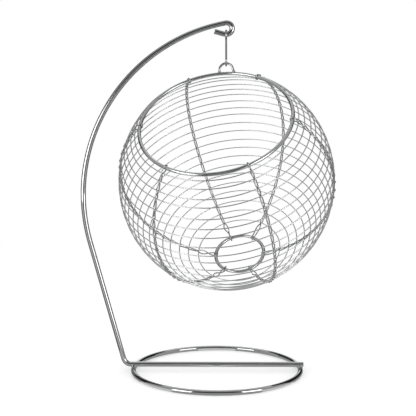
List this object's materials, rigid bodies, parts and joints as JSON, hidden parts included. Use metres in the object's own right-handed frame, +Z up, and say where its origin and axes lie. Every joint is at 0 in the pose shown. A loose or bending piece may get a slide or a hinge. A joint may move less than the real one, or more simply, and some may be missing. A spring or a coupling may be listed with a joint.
{
  "type": "hanging fruit basket",
  "caption": "Ball-shaped wire basket with a tilted open mouth, hung by an S-hook from an arched rod stand with a round base ring.",
  "frame": {"origin": "middle of the base ring, on the surface that the stand rests on", "axes": "+X along the foot bar, away from the leg; +Y to the back, away from the basket's mouth; +Z up"},
  "size_m": [0.2891, 0.248, 0.4036],
  "materials": {
    "stand_chrome": "polished chrome plate on steel rod",
    "ring_chrome": "polished chrome plate on steel wire",
    "rib_wire_chrome": "chrome-plated twisted wire",
    "hoop_wire_chrome": "chrome-plated fine wire",
    "hook_wire_chrome": "polished chrome-plated wire",
    "weld_metal": "plated weld metal, slightly uneven"
  },
  "bodies": {
    "stand": {"stand_rod": "stand_chrome", "base_ring": "stand_chrome", "base_welds": "weld_metal"},
    "s_hook": {"s_hook": "hook_wire_chrome"},
    "basket": {"hanging_eye": "hook_wire_chrome", "eye_welds": "weld_metal", "mouth_ring": "ring_chrome", "closing_ring": "ring_chrome", "rib_welds": "weld_metal", "rib_1": "rib_wire_chrome", "rib_2": "rib_wire_chrome", "rib_3": "rib_wire_chrome", "rib_4": "rib_wire_chrome", "rib_5": "rib_wire_chrome", "rib_6": "rib_wire_chrome", "hoop_01": "hoop_wire_chrome", "hoop_02": "hoop_wire_chrome", "hoop_03": "hoop_wire_chrome", "hoop_04": "hoop_wire_chrome", "hoop_05": "hoop_wire_chrome", "hoop_06": "hoop_wire_chrome", "hoop_07": "hoop_wire_chrome", "hoop_08": "hoop_wire_chrome", "hoop_09": "hoop_wire_chrome", "hoop_10": "hoop_wire_chrome", "hoop_11": "hoop_wire_chrome", "hoop_12": "hoop_wire_chrome", "hoop_13": "hoop_wire_chrome", "hoop_14": "hoop_wire_chrome", "hoop_15": "hoop_wire_chrome", "hoop_16": "hoop_wire_chrome", "hoop_17": "hoop_wire_chrome", "hoop_18": "hoop_wire_chrome", "hoop_19": "hoop_wire_chrome", "hoop_20": "hoop_wire_chrome", "hoop_21": "hoop_wire_chrome", "hoop_22": "hoop_wire_chrome"}
  },
  "joints": [
    {"name": "hook_swing", "type": "hinge", "parent": "stand", "child": "s_hook", "pos_m": [0.01016, 0, 0.38785], "axis": [1, 0, 0], "range_deg": [-45, 45]},
    {"name": "basket_sway", "type": "hinge", "parent": "s_hook", "child": "basket", "pos_m": [0.01016, 0, 0.35295], "axis": [0, -1, 0], "range_deg": [-13, 30]}
  ]
}
